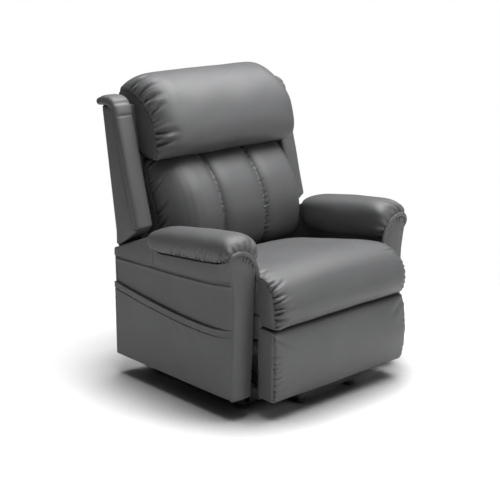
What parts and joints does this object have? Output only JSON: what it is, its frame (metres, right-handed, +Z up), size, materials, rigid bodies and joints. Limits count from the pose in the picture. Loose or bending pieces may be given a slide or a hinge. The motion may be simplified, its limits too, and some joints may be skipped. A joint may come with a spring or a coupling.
{
  "type": "sit to stand lift chair",
  "caption": "Upholstered sit-to-stand lift armchair with a tilting lift base, reclining back, folding legrest, bolster headrest and padded arms.",
  "frame": {"origin": "on the floor, under the middle of the chair's overall length and width", "axes": "+Z up, the sitter faces -Y, +X is the sitter's left"},
  "size_m": [0.8406, 0.8241, 1.0571],
  "materials": {
    "frame_steel": "satin",
    "pivot_steel": "satin",
    "actuator_case": "matte",
    "case_plastic": "matte",
    "button_plastic": "satin",
    "timber": "matte",
    "webbing": "matte",
    "upholstery": "satin",
    "glide": "matte"
  },
  "bodies": {
    "base": {"base_frame": "frame_steel", "base_pivot_plates": "frame_steel", "base_actuator_clevis": "frame_steel", "base_pivot_bolts": "pivot_steel", "glide_feet": "glide"},
    "lift_arm": {"lift_arms": "frame_steel", "lift_torque_tube": "frame_steel", "lift_lever_pin": "pivot_steel"},
    "lift_link": {"lift_links": "frame_steel"},
    "lift_actuator": {"lift_motor": "actuator_case"},
    "lift_actuator_rod": {"lift_rod": "pivot_steel"},
    "carriage": {"carriage_plates": "frame_steel", "carriage_pivot_bolts": "pivot_steel", "seat_frame": "frame_steel", "legrest_rails": "frame_steel", "seat_box": "timber", "seat_webbing": "webbing", "arm_spacers": "timber", "legrest_gearmotor": "actuator_case", "control_box": "case_plastic", "rear_valance": "upholstery", "seat_cushion": "upholstery", "switch_panel": "case_plastic", "arm_frame_left": "timber", "arm_frame_right": "timber", "arm_outer_panel_left": "upholstery", "arm_outer_panel_right": "upholstery", "arm_inner_panel_left": "upholstery", "arm_inner_panel_right": "upholstery", "arm_front_panel_left": "upholstery", "arm_front_panel_right": "upholstery", "arm_rear_cover_left": "upholstery", "arm_rear_cover_right": "upholstery", "arm_pocket_left": "upholstery", "arm_pocket_right": "upholstery", "arm_roll_left": "upholstery", "arm_roll_right": "upholstery"},
    "legrest_link_a": {"legrest_drive_tube": "frame_steel", "link_a": "frame_steel"},
    "legrest_link_b": {"link_b": "frame_steel"},
    "legrest_link_c": {"link_c": "frame_steel"},
    "legrest_link_d": {"link_d": "frame_steel"},
    "legrest": {"legrest_brackets": "frame_steel", "legrest_studs": "pivot_steel", "legrest_frame": "timber", "legrest_pad": "upholstery"},
    "recline_actuator": {"recline_motor": "actuator_case"},
    "recline_actuator_rod": {"recline_rod": "pivot_steel"},
    "back": {"back_hinge_plates": "frame_steel", "recline_lever_pin": "pivot_steel", "back_frame": "timber", "back_rear_panel": "upholstery", "back_cushion": "upholstery", "headrest": "upholstery", "wing_body_left": "upholstery", "wing_body_right": "upholstery", "wing_strip_left": "upholstery", "wing_strip_right": "upholstery"},
    "raise_button": {"button_raise": "button_plastic"},
    "lower_button": {"button_lower": "button_plastic"}
  },
  "joints": [
    {"name": "lift", "type": "hinge", "parent": "base", "child": "lift_arm", "pos_m": [0, -0.2131, 0.1376], "axis": [1, 0, 0], "range_deg": [0, 56]},
    {"name": "lift_carriage", "type": "hinge", "parent": "lift_arm", "child": "carriage", "pos_m": [0, 0.235, 0.235], "axis": [1, 0, 0], "range_deg": [-29, 0]},
    {"name": "lift_link_pivot", "type": "hinge", "parent": "base", "child": "lift_link", "pos_m": [0, -0.272, 0.0912], "axis": [1, 0, 0], "range_deg": [0, 65.87]},
    {"name": "lift_actuator_tilt", "type": "hinge", "parent": "base", "child": "lift_actuator", "pos_m": [0, 0.255, 0.095], "axis": [1, 0, 0], "range_deg": [0, 0.52]},
    {"name": "lift_actuator_stroke", "type": "slide", "parent": "lift_actuator", "child": "lift_actuator_rod", "axis": [0, -0.9788, 0.2047], "range_m": [0, 0.0519]},
    {"name": "legrest", "type": "hinge", "parent": "carriage", "child": "legrest_link_a", "pos_m": [0, -0.23, 0.325], "axis": [-1, 0, 0], "range_deg": [0, 148.6]},
    {"name": "legrest_link_a_c", "type": "hinge", "parent": "legrest_link_a", "child": "legrest_link_c", "pos_m": [0, -0.0567, 0.3191], "axis": [-1, 0, 0], "range_deg": [-88.4, 0]},
    {"name": "legrest_panel", "type": "hinge", "parent": "legrest_link_c", "child": "legrest", "pos_m": [0, -0.322, 0.1077], "axis": [-1, 0, 0], "range_deg": [0, 25.8]},
    {"name": "legrest_link_b_pivot", "type": "hinge", "parent": "carriage", "child": "legrest_link_b", "pos_m": [0, -0.1859, 0.3231], "axis": [-1, 0, 0], "range_deg": [0, 149.1]},
    {"name": "legrest_link_b_d", "type": "hinge", "parent": "legrest_link_b", "child": "legrest_link_d", "pos_m": [0, -0.02, 0.3084], "axis": [-1, 0, 0], "range_deg": [-103.4, 0]},
    {"name": "recline", "type": "hinge", "parent": "carriage", "child": "back", "pos_m": [0, 0.285, 0.33], "axis": [-1, 0, 0], "range_deg": [0, 38]},
    {"name": "recline_actuator_tilt", "type": "hinge", "parent": "carriage", "child": "recline_actuator", "pos_m": [0, 0.048, 0.296], "axis": [-1, 0, 0], "range_deg": [0, 0.68]},
    {"name": "recline_actuator_stroke", "type": "slide", "parent": "recline_actuator", "child": "recline_actuator_rod", "axis": [0, 0.9989, -0.0479], "range_m": [-0.0313, 0]},
    {"name": "raise_button_press", "type": "slide", "parent": "carriage", "child": "raise_button", "axis": [-1, 0, 0], "range_m": [0, 0.0015], "stiffness_N_per_m": 1200},
    {"name": "lower_button_press", "type": "slide", "parent": "carriage", "child": "lower_button", "axis": [-1, 0, 0], "range_m": [0, 0.0015], "stiffness_N_per_m": 1200}
  ],
  "couplings": [
    {"joint": "lift_carriage", "follows": "lift", "ratio": -0.51786},
    {"joint": "lift_link_pivot", "follows": "lift", "ratio": 1.1763},
    {"joint": "lift_actuator_tilt", "follows": "lift", "ratio": 0.009082},
    {"joint": "lift_actuator_stroke", "follows": "lift", "m_per_rad": 0.053047},
    {"joint": "legrest_link_a_c", "follows": "legrest", "ratio": -0.59408},
    {"joint": "legrest_panel", "follows": "legrest", "ratio": 0.17271},
    {"joint": "legrest_link_b_pivot", "follows": "legrest", "ratio": 1.0023},
    {"joint": "legrest_link_b_d", "follows": "legrest", "ratio": -0.69469},
    {"joint": "recline_actuator_tilt", "follows": "recline", "ratio": 0.017702},
    {"joint": "recline_actuator_stroke", "follows": "recline", "m_per_rad": -0.047068}
  ]
}
